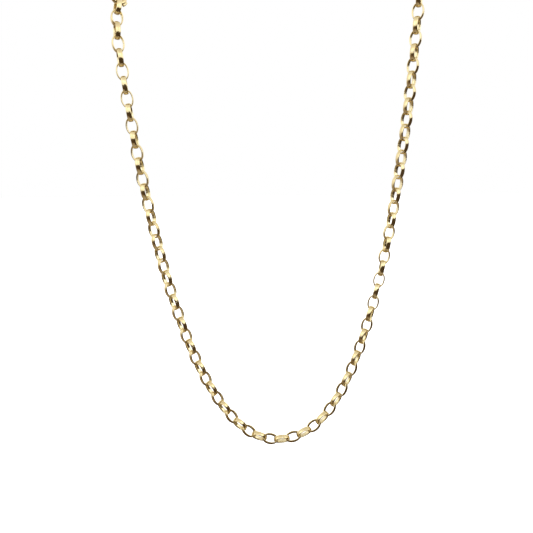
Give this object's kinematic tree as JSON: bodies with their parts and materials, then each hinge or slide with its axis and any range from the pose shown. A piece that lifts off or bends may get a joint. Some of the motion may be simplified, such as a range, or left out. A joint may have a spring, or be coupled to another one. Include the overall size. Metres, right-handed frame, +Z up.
{
  "type": "rolo chain necklace",
  "caption": "Oval rolo chain necklace of half-round band links, a closed loop in its worn form with a plain bolt ring clasp.",
  "frame": {"origin": "middle of the chain at the back of the neck, where the necklace rests", "axes": "+X to the viewer's right of the worn necklace, +Y from the viewer towards the nape, +Z up"},
  "size_m": [0.1087, 0.0615, 0.2013],
  "materials": {
    "chain_gold": "polished yellow gold",
    "clasp_gold": "polished yellow gold"
  },
  "bodies": {
    "root": {"front_chain": "chain_gold", "back_chain": "chain_gold", "clasp": "clasp_gold"}
  },
  "joints": []
}
